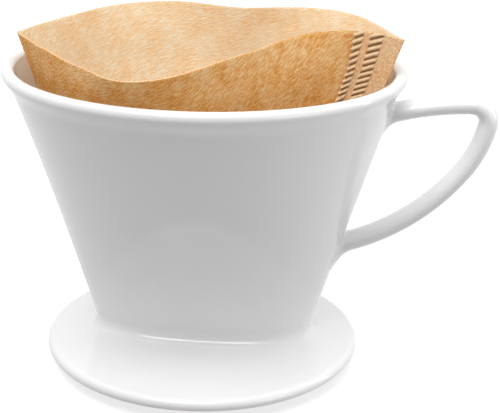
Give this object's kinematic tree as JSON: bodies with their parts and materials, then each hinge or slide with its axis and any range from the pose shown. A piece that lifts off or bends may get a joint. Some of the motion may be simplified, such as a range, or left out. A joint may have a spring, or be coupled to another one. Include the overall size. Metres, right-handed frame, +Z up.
{
  "type": "pour over dripper",
  "caption": "White glazed porcelain wedge-shaped coffee dripper with a round rim, a foot disc and a loop handle, holding a brown paper filter that lifts out.",
  "frame": {"origin": "on the axis of the round rim, on the plane that the locating ring stands on", "axes": "+Z up, +X towards the handle, +Y to the back, away from the folded side seam's wall"},
  "size_m": [0.155, 0.126, 0.1123],
  "materials": {
    "glazed_porcelain": "glossy white glaze",
    "filter_paper": "unbleached crepe paper"
  },
  "bodies": {
    "dripper": {"cone_bowl": "glazed_porcelain", "foot_disc": "glazed_porcelain", "locating_ring": "glazed_porcelain", "handle": "glazed_porcelain"},
    "paper_filter": {"filter_front_wall": "filter_paper", "filter_back_wall": "filter_paper", "filter_side_seam": "filter_paper", "filter_bottom_seam": "filter_paper"}
  },
  "joints": [
    {"name": "filter_lift", "type": "slide", "parent": "dripper", "child": "paper_filter", "axis": [0, 0, 1], "range_m": [0, 0.12]}
  ]
}
